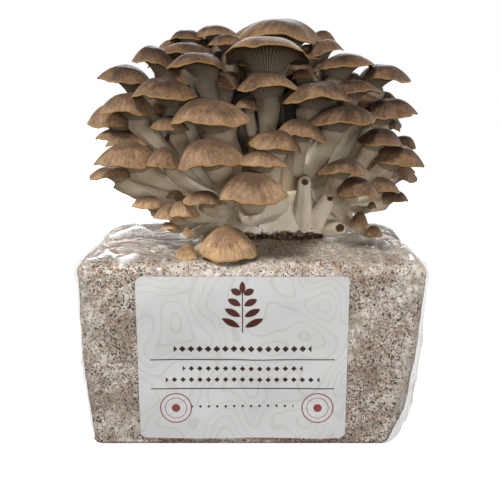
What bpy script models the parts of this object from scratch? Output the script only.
"""Oyster mushroom grow kit: a bagged block of substrate with a cluster of caps growing from its top.

Metres, +Z up. The front, with the label, faces -Y. The origin is on the resting face, under the
middle of the block.
"""

import math
from collections import namedtuple

import bmesh
import bpy
from mathutils import Euler, Vector
from mathutils.bvhtree import BVHTree

MM = 0.001
GAP = 0.3 * MM  # clearance between pieces that touch

# Bag: where its sides, front and back stand at the top and the bottom, and its height
BAG_TOP_LEFT = -105.5 * MM
BAG_TOP_RIGHT = 107.5 * MM
BAG_BOTTOM_LEFT = -100 * MM
BAG_BOTTOM_RIGHT = 97.5 * MM
BAG_TOP_FRONT = -66 * MM
BAG_BOTTOM_FRONT = -59 * MM
BAG_BACK = 64 * MM
BAG_HEIGHT = 120 * MM
BAG_ROUNDING = 8 * MM
FILM = 0.5 * MM

# Block: it fills the bag, except for the loose film on the right
BLOCK_LOOSE_RIGHT = 11 * MM
BLOCK_ROUNDING = 9 * MM

# Label on the front
LABEL_WIDTH = 127 * MM
LABEL_HEIGHT = 105 * MM
LABEL_MIDDLE_X = -4.5 * MM
LABEL_BOTTOM = 7 * MM
LABEL_CORNER = 4 * MM
LABEL_SHEET = 0.4 * MM

# Cluster base, a lumpy half ellipsoid that stands in the bag's opening
BASE_MIDDLE = Vector((15, 26, 132)) * MM
BASE_RADII = Vector((48, 25, 33)) * MM
OPENING_DEPTH = 30 * MM
OPENING_SIDES = 20
OPENING_SPREAD = 1.1  # in the base's radii

# Where the layout is seen from: the eye stands in front of the block's middle and looks slightly down
EYE = Vector((0, -580, 240)) * MM
EYE_PITCH = math.radians(12.3)
EYE_FOCAL = 897  # in the picture's pixels
PICTURE_MIDDLE = 250

# Caps, in shares of their half width
CAP_HALF_DEPTH = 0.82
LOWEST_DOME = 0.28
NECK_RADIUS = 0.3
NECK_DROP = 0.42  # how far the neck reaches below the rim
MARGIN_SWELL = 0.05
MARGIN_WAVE = 0.05
MARGIN_FRILL = 0.035
CAP_SIDES = 10
SMALL_CAP_SIDES = 7
GOLDEN_TURN = 2.39996  # turns each cap's margin a different way, in radians

# Stems and the short trunks that they part from
TRUNK_RADIUS = 15 * MM
STEM_LEAST_RADIUS = 1.6 * MM
STEM_FOOT_RADIUS = 6 * MM
STEM_SHARE = 0.32  # a stem's radius at the cap, in half widths of the cap
STEM_STOPS = 4
ROOM = 0.6 * MM  # what a neighbour's cutter stands out by
STEM_SPREAD = 0.4  # how far apart a fork's stems start, as a share of the way to their own directions

# How finely the skins are kept
BUNDLE_SHARE = 0.68
CAP_SHARE = 0.86
NUDGE = 0.02 * MM
NUDGES = 6
WELD = 0.01 * MM
SLIVER_WELDS = (0.08 * MM, 0.04 * MM, WELD)
FLAT_ENOUGH = math.radians(1.5)  # faces that bend less than this are merged

# column and row: middle of the cap's outline in the front picture, in pixels.
# depth: how far behind the block's middle it stands. width and height: of that outline. All in mm.
# tilt: towards the front. roll: right side down. Both in degrees.
Cap = namedtuple("Cap", "name column row depth width height tilt roll")

CAPS = (
    Cap("cap_crown_back", 277, 28, 34, 58, 15, 6, 3),
    Cap("cap_crown_left", 217, 30, 44, 31, 8, 4, 0),
    Cap("cap_crown_front", 266, 46, 0, 56, 12, -14, 1),
    Cap("cap_upper_left_back", 183, 48, 24, 39, 9, 2, -2),
    Cap("cap_upper_left_edge", 155, 55, 14, 30, 13, 8, 10),
    Cap("cap_upper_left", 196, 59, -12, 38, 10, -4, 0),
    Cap("cap_left_edge_high", 127, 74, 14, 36, 13, 8, 8),
    Cap("cap_left_high", 164, 88, -16, 43, 14, 8, 2),
    Cap("cap_middle_left_high", 220, 81, 8, 27, 11, 2, -4),
    Cap("cap_middle_high", 268, 80, -12, 38, 11, 2, -2),
    Cap("cap_upper_right_back", 324, 46, 30, 26, 10, 4, -14),
    Cap("cap_upper_right", 344, 60, 14, 38, 10, 3, -6),
    Cap("cap_right_edge_high", 384, 72, 22, 35, 12, 6, 1),
    Cap("cap_middle_right_high", 316, 91, -14, 45, 13, 6, -2),
    Cap("cap_right_high", 357, 86, -6, 29, 9, 4, -2),
    Cap("cap_right_edge", 389, 108, 2, 37, 14, 8, -6),
    Cap("cap_right_front", 343, 115, -26, 40, 13, 8, -3),
    Cap("cap_middle_right", 302, 129, -34, 31, 12, 6, 10),
    Cap("cap_middle", 275, 140, -42, 33, 13, 10, 7),
    Cap("cap_middle_low", 261, 159, -54, 31, 10, 4, 3),
    Cap("cap_left_front", 210, 112, -30, 51, 17, 10, 0),
    Cap("cap_left_edge_upper", 126, 103, -8, 34, 15, 8, 3),
    Cap("cap_left_edge_middle", 114, 116, 14, 34, 17, 12, 4),
    Cap("cap_left_edge_thin", 118, 134, 12, 31, 8, 6, 0),
    Cap("cap_left_edge_low", 127, 155, -26, 39, 17, 12, 2),
    Cap("cap_left_low", 211, 153, -52, 41, 18, 12, -7),
    Cap("cap_left_skirt", 111, 172, -4, 29, 9, 6, -2),
    Cap("cap_front_lowest", 228, 244, -54, 34, 21, 26, 0),
    Cap("cap_front_large", 253, 188, -64, 42, 19, 14, 0),
    Cap("cap_right_low", 343, 167, -44, 29, 10, 6, 0),
    Cap("cap_right_low_front", 358, 187, -42, 25, 13, 14, 2),
    Cap("cap_right_middle", 380, 137, -18, 30, 12, 8, 5),
    Cap("cap_right_edge_low", 397, 155, -10, 35, 15, 8, 6),
)

# Caps too small to stand alone, fused with the stems they grow on
SMALL_CAPS = (
    Cap("crown", 227, 39, 20, 24, 8, 2, 0),
    Cap("crown", 187, 34, 44, 25, 7, 2, 0),
    Cap("crown", 172, 44, 46, 22, 8, 2, 0),
    Cap("crown", 323, 35, 46, 17, 8, 2, 0),
    Cap("upper_right", 304, 73, 16, 19, 7, 2, -4),
    Cap("right_edge", 384, 96, 32, 18, 8, 2, 0),
    Cap("right_edge", 391, 123, 16, 14, 7, 0, 20),
    Cap("right_edge", 403, 141, 22, 18, 9, 6, 10),
    Cap("left_front", 170, 123, -20, 24, 10, 8, 2),
    Cap("left_under", 127, 140, -2, 30, 10, 8, 0),
    Cap("left_front", 163, 157, -38, 21, 14, 12, 2),
    Cap("left_skirt", 125, 184, 0, 15, 7, 6, 0),
    Cap("left_skirt", 148, 202, -20, 22, 9, 8, 2),
    Cap("left_skirt", 169, 212, -30, 19, 11, 14, 2),
    Cap("left_skirt", 184, 209, -40, 19, 11, 12, 0),
    Cap("left_skirt", 202, 198, -46, 24, 9, 8, 2),
    Cap("left_skirt", 169, 226, -30, 11, 5, 8, 0),
    Cap("front_skirt", 187, 251, -52, 13, 11, 30, 0),
    Cap("middle", 247, 103, -6, 17, 8, 4, 2),
    Cap("right_skirt", 384, 185, -18, 20, 10, 10, 4),
    Cap("right_skirt", 389, 174, 2, 12, 6, 6, 10),
    Cap("right_skirt", 359, 219, -26, 12, 11, 20, 0),
    Cap("right_skirt", 374, 231, -16, 11, 8, 20, 0),
)

# The far side repeats the seen side's spread: (rise above the base, cap width) in degrees and mm, per tier
BACK_TIERS = ((12, 33, (-66, -22, 22, 66)), (34, 38, (-60, -20, 22, 62)), (54, 40, (-38, 2, 40)))
BACK_REACH = Vector((100, 74, 112)) * MM
BACK_TILT = math.radians(-10)
BACK_WIDTH_VARIES = 3
BACK_HALF_DEPTH = 0.85
BACK_DOME = 0.5

# How the stems part at the main forks, by direction from the base as seen from the front
FORKS = (
    ("stems_left_low", -180, -66),
    ("stems_left", -66, -38),
    ("stems_upper_left", -38, -14),
    ("stems_middle", -14, 12),
    ("stems_upper_right", 12, 36),
    ("stems_right", 36, 180),
)
FRONT_DEPTH = -36 * MM
BACK_DEPTH = 48 * MM
SIDE_BEARING = 20
FRONT_RIGHT_BEARING = 26


def clear_scene():
    for thing in list(bpy.data.objects):
        bpy.data.objects.remove(thing, do_unlink=True)


def new_collection(name):
    collection = bpy.data.collections.new(name)
    bpy.context.scene.collection.children.link(collection)
    return collection


def new_material(name, colour, roughness):
    material = bpy.data.materials.new(name)
    material.use_nodes = True
    shader = material.node_tree.nodes["Principled BSDF"]
    shader.inputs["Base Color"].default_value = (*colour, 1.0)
    shader.inputs["Roughness"].default_value = roughness
    shader.inputs["Metallic"].default_value = 0.0
    return material


def new_object(name, mesh, collection):
    thing = bpy.data.objects.new(name, mesh)
    collection.objects.link(thing)
    return thing


def mesh_from(bm, name):
    """A mesh of triangles, so that a copy that stands out by some room bends along the same lines."""
    bmesh.ops.recalc_face_normals(bm, faces=bm.faces)
    bmesh.ops.triangulate(bm, faces=bm.faces)
    mesh = bpy.data.meshes.new(name)
    bm.to_mesh(mesh)
    bm.free()
    return mesh


def apply_modifiers(thing):
    """Replaces an object's mesh with the one its modifiers make."""
    bpy.context.view_layer.update()
    evaluated = thing.evaluated_get(bpy.context.evaluated_depsgraph_get())
    mesh = bpy.data.meshes.new_from_object(evaluated)
    thing.modifiers.clear()
    thing.data = mesh


def is_closed(mesh):
    bm = bmesh.new()
    bm.from_mesh(mesh)
    closed = len(bm.faces) > 0 and all(edge.is_manifold for edge in bm.edges)
    bm.free()
    return closed


def combine(thing, other, operation):
    """Cuts or joins, and tries again with the other solid nudged where that leaves the skin open."""
    whole = thing.data
    place = other.location.copy()
    for nudge in range(NUDGES):
        thing.data = whole
        other.location = place + Vector((nudge, -nudge, nudge)) * NUDGE
        modifier = thing.modifiers.new(operation.lower(), "BOOLEAN")
        modifier.operation = operation
        modifier.solver = "EXACT"
        modifier.object = other
        apply_modifiers(thing)
        keep_main_body(thing)
        if is_closed(thing.data):
            break
    other.location = place


def islands_of(bm):
    """Groups of faces that hang together along their edges."""
    waiting = set(bm.faces)
    groups = []
    while waiting:
        group = [waiting.pop()]
        for face in group:
            for edge in face.edges:
                for other in edge.link_faces:
                    if other in waiting:
                        waiting.remove(other)
                        group.append(other)
        groups.append(group)
    return groups


def reach_of(group):
    """Diagonal of the box around a group of faces."""
    points = [vertex.co for face in group for vertex in face.verts]
    lowest = Vector([min(point[axis] for point in points) for axis in range(3)])
    highest = Vector([max(point[axis] for point in points) for axis in range(3)])
    return (highest - lowest).length


def keep_main_body(thing):
    """Welds the cut's slivers, as far as the skin stays closed, and drops what a cut has parted."""
    for weld in SLIVER_WELDS:
        bm = bmesh.new()
        bm.from_mesh(thing.data)
        bmesh.ops.remove_doubles(bm, verts=bm.verts, dist=weld)
        bmesh.ops.dissolve_degenerate(bm, edges=bm.edges, dist=weld / 2)
        groups = sorted(islands_of(bm), key=reach_of)
        for group in groups[:-1]:
            bmesh.ops.delete(bm, geom=group, context="FACES")
        bmesh.ops.dissolve_limit(bm, angle_limit=FLAT_ENOUGH, verts=bm.verts, edges=bm.edges)
        bmesh.ops.triangulate(bm, faces=bm.faces)
        closed = all(edge.is_manifold for edge in bm.edges)
        if closed or weld == SLIVER_WELDS[-1]:
            bm.to_mesh(thing.data)
            bm.free()
            return
        bm.free()


def tree_of(thing):
    """Faces of an object in the world, for a test of what touches what."""
    bm = bmesh.new()
    bm.from_mesh(thing.data)
    bm.transform(thing.matrix_world)
    tree = BVHTree.FromBMesh(bm)
    bm.free()
    return tree


def touch(one, other):
    return bool(tree_of(one).overlap(tree_of(other)))


def seen_at(column, row, depth):
    """The point at a given depth on the sight line through a place in the front picture."""
    across = (column - PICTURE_MIDDLE) / EYE_FOCAL
    up = (PICTURE_MIDDLE - row) / EYE_FOCAL
    forward = math.cos(EYE_PITCH) + math.sin(EYE_PITCH) * up
    rise = math.cos(EYE_PITCH) * up - math.sin(EYE_PITCH)
    reach = (depth - EYE.y) / forward
    return Vector((across * reach, depth, EYE.z + rise * reach))


def rounded_box(corners_low, corners_high, rounding, name):
    """A box given by its four lower and four upper corners, with rounded edges."""
    bm = bmesh.new()
    bmesh.ops.create_cube(bm, size=2)
    for vertex in bm.verts:
        corners = corners_high if vertex.co.z > 0 else corners_low
        left, right, front, back, height = corners
        x = right if vertex.co.x > 0 else left
        y = back if vertex.co.y > 0 else front
        vertex.co = Vector((x, y, height))
    bmesh.ops.bevel(
        bm, geom=bm.edges, offset=rounding, segments=3, profile=0.5, affect="EDGES", clamp_overlap=True
    )
    return mesh_from(bm, name)


def bag_corners(inset, loose_right=0.0):
    """The bag's lower and upper corners, moved inwards by an inset."""
    low = (
        BAG_BOTTOM_LEFT + inset,
        BAG_BOTTOM_RIGHT - inset - loose_right,
        BAG_BOTTOM_FRONT + inset,
        BAG_BACK - inset,
        inset,
    )
    high = (
        BAG_TOP_LEFT + inset,
        BAG_TOP_RIGHT - inset - loose_right,
        BAG_TOP_FRONT + inset,
        BAG_BACK - inset,
        BAG_HEIGHT - inset,
    )
    return low, high


def make_block(collection):
    mesh = rounded_box(*bag_corners(FILM + GAP, BLOCK_LOOSE_RIGHT), BLOCK_ROUNDING, "substrate_block")
    return new_object("substrate_block", mesh, collection)


def make_bag(collection, cutters):
    """The film, with an opening in its top that the base of the cluster stands in."""
    mesh = rounded_box(*bag_corners(0.0), BAG_ROUNDING, "bag")
    bag = new_object("bag", mesh, collection)
    shell = bag.modifiers.new("film", "SOLIDIFY")
    shell.thickness = FILM
    shell.offset = -1
    apply_modifiers(bag)
    bm = bmesh.new()
    bmesh.ops.create_cone(
        bm, cap_ends=True, segments=OPENING_SIDES, radius1=1, radius2=1, depth=OPENING_DEPTH
    )
    for vertex in bm.verts:
        vertex.co.x *= BASE_RADII.x * OPENING_SPREAD
        vertex.co.y *= BASE_RADII.y * OPENING_SPREAD
    opening = new_object("bag_opening", mesh_from(bm, "bag_opening"), cutters)
    opening.location = (BASE_MIDDLE.x, BASE_MIDDLE.y, BAG_HEIGHT)
    opening.hide_render = True
    opening.display_type = "WIRE"
    combine(bag, opening, "DIFFERENCE")
    return bag


def make_label(collection):
    """A thin sheet with round corners that lies on the bag's leaning front."""
    outline = bpy.data.curves.new("label", "CURVE")
    outline.dimensions = "2D"
    outline.fill_mode = "BOTH"
    outline.extrude = LABEL_SHEET / 2
    points = []
    for quarter in range(4):
        middle_x = (LABEL_WIDTH / 2 - LABEL_CORNER) * (1 if quarter in (0, 3) else -1)
        middle_y = (LABEL_HEIGHT / 2 - LABEL_CORNER) * (1 if quarter in (0, 1) else -1)
        for step in range(4):
            angle = math.radians(90 * quarter + 30 * step)
            points.append(
                (middle_x + LABEL_CORNER * math.cos(angle), middle_y + LABEL_CORNER * math.sin(angle))
            )
    spline = outline.splines.new("POLY")
    spline.points.add(len(points) - 1)
    for point, (x, y) in zip(spline.points, points):
        point.co = (x, y, 0, 1)
    spline.use_cyclic_u = True
    lean = math.atan2(BAG_BOTTOM_FRONT - BAG_TOP_FRONT, BAG_HEIGHT)
    middle_z = LABEL_BOTTOM + LABEL_HEIGHT / 2
    face_y = BAG_BOTTOM_FRONT + (BAG_TOP_FRONT - BAG_BOTTOM_FRONT) * middle_z / BAG_HEIGHT
    label = curve_to_mesh(outline, "label", collection)
    label.rotation_euler = (math.pi / 2 + lean, 0, 0)
    label.location = (LABEL_MIDDLE_X, face_y - GAP - LABEL_SHEET / 2, middle_z)
    return label


def curve_to_mesh(curve, name, collection):
    """A curve turned into a closed mesh object."""
    guide = new_object(name + "_curve", curve, collection)
    bpy.context.view_layer.update()
    evaluated = guide.evaluated_get(bpy.context.evaluated_depsgraph_get())
    mesh = bpy.data.meshes.new_from_object(evaluated)
    bpy.data.objects.remove(guide, do_unlink=True)
    bm = bmesh.new()
    bm.from_mesh(mesh)
    bmesh.ops.remove_doubles(bm, verts=bm.verts, dist=WELD)
    bmesh.ops.recalc_face_normals(bm, faces=bm.faces)
    bm.to_mesh(mesh)
    bm.free()
    return new_object(name, mesh, collection)


def make_base(collection):
    """The knobbly foot of the cluster, cut flat where it meets the block."""
    bm = bmesh.new()
    bmesh.ops.create_uvsphere(bm, u_segments=18, v_segments=10, radius=1)
    for vertex in bm.verts:
        way = vertex.co.normalized()
        lump = 1 + 0.05 * math.sin(5 * way.x + 3 * way.z) + 0.05 * math.sin(7 * way.y - 4 * way.x + 1)
        vertex.co = Vector([way[axis] * BASE_RADII[axis] * lump for axis in range(3)])
        vertex.co += BASE_MIDDLE
    foot = BAG_HEIGHT - FILM
    everything = list(bm.verts) + list(bm.edges) + list(bm.faces)
    cut = bmesh.ops.bisect_plane(
        bm, geom=everything, plane_co=(0, 0, foot), plane_no=(0, 0, -1), clear_outer=True
    )
    rim = [piece for piece in cut["geom_cut"] if isinstance(piece, bmesh.types.BMEdge)]
    bmesh.ops.edgeloop_fill(bm, edges=rim)
    return new_object("cluster_base", mesh_from(bm, "cluster_base"), collection)


def cap_frame(cap):
    """Middle of a cap's rim, its half width, half depth, dome height and turn."""
    half_width = cap.width / 2 * MM
    half_depth = half_width * CAP_HALF_DEPTH
    point = seen_at(cap.column, cap.row, cap.depth * MM)
    sight = math.atan2(EYE.z - point.z, point.y - EYE.y)
    lean = math.radians(cap.tilt) + sight
    front_drop = half_depth * math.sin(max(lean, 0.0))
    dome = (cap.height * MM - front_drop) / math.cos(lean)
    dome = max(dome, LOWEST_DOME * half_width)
    point.z -= (dome - front_drop) / 2
    turn = Euler((math.radians(cap.tilt), math.radians(cap.roll), 0))
    return point, half_width, half_depth, dome, turn


def back_caps():
    """Caps of the far side, each as a rim middle, half width, half depth, dome height and turn."""
    caps = []
    for rise, width, bearings in BACK_TIERS:
        for number, bearing in enumerate(bearings):
            up = math.radians(rise)
            around = math.radians(bearing)
            way = Vector(
                (math.cos(up) * math.sin(around), math.cos(up) * math.cos(around), math.sin(up))
            )
            point = BASE_MIDDLE + Vector([way[axis] * BACK_REACH[axis] for axis in range(3)])
            varied = width + BACK_WIDTH_VARIES * math.cos(GOLDEN_TURN * (number + rise))
            half_width = varied / 2 * MM
            turn = Euler((BACK_TILT, 0, -around), "XYZ")
            caps.append((point, half_width, half_width * BACK_HALF_DEPTH, half_width * BACK_DOME, turn))
    return caps


def cap_mesh(half_width, half_depth, dome, phase, steps, name):
    """A shallow dome with a wavy margin, whose gilled underside runs down into a neck."""
    neck = half_width * NECK_RADIUS
    profile = (
        (0.0, dome),
        (0.62 * half_width, 0.7 * dome),
        (half_width, 0.0),
        (neck * 1.4, -0.18 * half_width),
        (neck, -NECK_DROP * half_width),
        (0.0, -NECK_DROP * half_width),
    )
    bm = bmesh.new()
    line = [bm.verts.new((radius, 0, height)) for radius, height in profile]
    edges = [bm.edges.new(pair) for pair in zip(line, line[1:])]
    bmesh.ops.spin(bm, geom=line + edges, axis=(0, 0, 1), cent=(0, 0, 0), steps=steps, angle=math.tau)
    bmesh.ops.remove_doubles(bm, verts=bm.verts, dist=WELD)
    for vertex in bm.verts:
        around = math.atan2(vertex.co.y, vertex.co.x)
        out = min(math.hypot(vertex.co.x, vertex.co.y) / half_width, 1.0)
        swell = 1 + MARGIN_SWELL * out * math.sin(2 * around + phase)
        swell += MARGIN_FRILL * out * math.sin(5 * around - phase)
        vertex.co.x *= swell
        vertex.co.y *= swell * half_depth / half_width
        vertex.co.z += MARGIN_WAVE * half_width * out ** 3 * math.sin(3 * around + 2 * phase)
    return mesh_from(bm, name)


def make_cap(name, frame, number, steps, collection):
    point, half_width, half_depth, dome, turn = frame
    mesh = cap_mesh(half_width, half_depth, dome, GOLDEN_TURN * number, steps, name)
    cap = new_object(name, mesh, collection)
    cap.location = point
    cap.rotation_euler = turn
    return cap


def neck_of(frame):
    """Where the stem meets the cap, and the cap's own upward direction."""
    point, half_width, _, _, turn = frame
    up = turn.to_matrix() @ Vector((0, 0, 1))
    return point - up * (NECK_DROP * half_width + 2 * GAP), up


def fork_point(way):
    """A place on the skin of the base in a given direction."""
    return BASE_MIDDLE + Vector([way[axis] * BASE_RADII[axis] * 0.95 for axis in range(3)])


def stem_curve(frame, end, name, collection, grow=0.0):
    """A tapering stem from a cap's neck to the base."""
    start, up = neck_of(frame)
    start = start + up * grow
    half_width = frame[1]
    length = (end - start).length
    first = start - up * (0.26 * length)
    second = end + (end - BASE_MIDDLE).normalized() * (0.25 * length)
    curve = bpy.data.curves.new(name, "CURVE")
    curve.dimensions = "3D"
    curve.bevel_depth = 1.0
    curve.bevel_resolution = 1
    curve.use_fill_caps = True
    spline = curve.splines.new("POLY")
    spline.points.add(STEM_STOPS - 1)
    top_radius = max(STEM_SHARE * half_width, STEM_LEAST_RADIUS)
    for index, knot in enumerate(spline.points):
        t = index / (STEM_STOPS - 1)
        place = (
            start * (1 - t) ** 3
            + first * (3 * t * (1 - t) ** 2)
            + second * (3 * t * t * (1 - t))
            + end * t ** 3
        )
        knot.co = (*place, 1)
        waist = 1 - 0.25 * math.sin(math.pi * t)
        knot.radius = (top_radius * (1 - t) + max(top_radius, STEM_FOOT_RADIUS) * t) * waist + grow
    return curve_to_mesh(curve, name, collection)


def fork_of(frame):
    """The name of the bundle that a cap's stem belongs to."""
    point = frame[0]
    bearing = math.degrees(math.atan2(point.x - BASE_MIDDLE.x, point.z - BASE_MIDDLE.z))
    if point.y > BACK_DEPTH:
        if bearing < -SIDE_BEARING:
            return "stems_back_left"
        if bearing > SIDE_BEARING:
            return "stems_back_right"
        return "stems_back"
    if point.y < FRONT_DEPTH and bearing < FRONT_RIGHT_BEARING:
        return "stems_front_left" if bearing < -SIDE_BEARING else "stems_front"
    for name, low, high in FORKS:
        if low <= bearing < high:
            return name
    return FORKS[-1][0]


def bundle_pieces(name, members, grow, collection):
    """A fork's trunk, stems and small caps as loose solids, which may stand out by some room."""
    ways = [(frame[0] - BASE_MIDDLE).normalized() for frame, _ in members]
    fork = fork_point(sum(ways, Vector()).normalized())
    bm = bmesh.new()
    bmesh.ops.create_icosphere(bm, subdivisions=1, radius=TRUNK_RADIUS + grow)
    trunk = new_object(name, mesh_from(bm, name), collection)
    trunk.location = fork
    pieces = [trunk]
    for number, (frame, own_cap) in enumerate(members):
        end = fork.lerp(fork_point(ways[number]), STEM_SPREAD)
        pieces.append(stem_curve(frame, end, f"{name}_stem_{number}", collection, grow))
        if own_cap:
            small = make_cap(f"{name}_cap_{number}", frame, number, SMALL_CAP_SIDES, collection)
            small.location = frame[0] - Vector((0, 0, 3 * GAP))
            if grow:
                small = swap_for_grown(small, grow, collection)
            pieces.append(small)
    return pieces


def swap_for_grown(thing, room, collection):
    """Puts a copy that stands out by some room in an object's place."""
    bpy.context.view_layer.update()
    grown = grown_copy(thing, room, collection)
    bpy.data.objects.remove(thing, do_unlink=True)
    return grown


def make_bundle(name, members, collection):
    """One main fork: a short trunk at the base that parts into its stems and small caps."""
    bundle, *pieces = bundle_pieces(name, members, 0.0, collection)
    for piece in pieces:
        bpy.context.view_layer.update()
        combine(bundle, piece, "UNION")
        bpy.data.objects.remove(piece, do_unlink=True)
    thin_skin(bundle, BUNDLE_SHARE)
    return bundle


def grown_copy(thing, amount, collection):
    """A copy whose skin stands out by a clearance, to cut with."""
    copy = new_object(thing.name + "_clearance", thing.data.copy(), collection)
    copy.matrix_world = thing.matrix_world.copy()
    bm = bmesh.new()
    bm.from_mesh(copy.data)
    bm.normal_update()
    for vertex in bm.verts:
        shell = min(vertex.calc_shell_factor(), 2.0)
        vertex.co += vertex.normal * amount * shell
    bm.to_mesh(copy.data)
    bm.free()
    copy.hide_render = True
    copy.display_type = "WIRE"
    return copy


def cut_by(thing, clearances):
    """Cuts room for every neighbour that an object runs into."""
    for clearance in clearances:
        if touch(thing, clearance):
            combine(thing, clearance, "DIFFERENCE")


def thin_skin(thing, share):
    """Merges the smallest faces until a share of them is left, if the skin stays closed."""
    whole = thing.data
    thin = thing.modifiers.new("thin", "DECIMATE")
    thin.ratio = share
    apply_modifiers(thing)
    keep_main_body(thing)
    if not is_closed(thing.data):
        thing.data = whole


def finish_surface(things, material, smooth):
    for thing in things:
        thing.data.materials.clear()
        thing.data.materials.append(material)
        if smooth:
            thing.data.shade_smooth()
            thing.data.set_sharp_from_angle(angle=math.radians(45))


def build():
    clear_scene()
    parts = new_collection("oyster_mushroom_grow_kit")
    cutters = new_collection("cutters")

    block = make_block(parts)
    bag = make_bag(parts, cutters)
    label = make_label(parts)
    base = make_base(parts)

    frames = [(cap.name, cap_frame(cap)) for cap in CAPS]
    frames += [(f"cap_back_{number + 1}", frame) for number, frame in enumerate(back_caps())]
    caps = [make_cap(name, frame, number, CAP_SIDES, parts) for number, (name, frame) in enumerate(frames)]

    members = {}
    for _, frame in frames:
        members.setdefault(fork_of(frame), []).append((frame, False))
    for cap in SMALL_CAPS:
        frame = cap_frame(cap)
        members.setdefault(fork_of(frame), []).append((frame, True))

    bpy.context.view_layer.update()
    carried = [grown_copy(thing, ROOM, cutters) for thing in (base, bag)]
    bundles = []
    stem_room = []
    for name in sorted(members):
        bundle = make_bundle(name, members[name], parts)
        bpy.context.view_layer.update()
        cut_by(bundle, carried + stem_room)
        stem_room += bundle_pieces(name + "_room", members[name], ROOM, cutters)
        bundles.append(bundle)

    bpy.context.view_layer.update()
    cap_room = []
    for cap in sorted(caps, key=lambda cap: cap.location.y):
        whole = grown_copy(cap, ROOM, cutters)
        cut_by(cap, carried + stem_room + cap_room)
        cap_room.append(whole)
    for cutter in list(cutters.objects):
        bpy.data.objects.remove(cutter, do_unlink=True)
    bundle_trees = [tree_of(bundle) for bundle in bundles]
    for cap in caps:
        whole = cap.data
        thin_skin(cap, CAP_SHARE)
        if any(tree_of(cap).overlap(tree) for tree in bundle_trees):
            cap.data = whole

    finish_surface([block], new_material("substrate", (0.38, 0.32, 0.26), 0.85), True)
    finish_surface([bag], new_material("film", (0.85, 0.85, 0.83), 0.25), True)
    finish_surface([label], new_material("label_paper", (0.68, 0.70, 0.72), 0.5), False)
    finish_surface([base], new_material("base_flesh", (0.62, 0.56, 0.46), 0.7), True)
    finish_surface(bundles, new_material("stem_flesh", (0.5, 0.44, 0.35), 0.7), True)
    finish_surface(caps, new_material("cap_skin", (0.2, 0.13, 0.09), 0.65), True)


build()
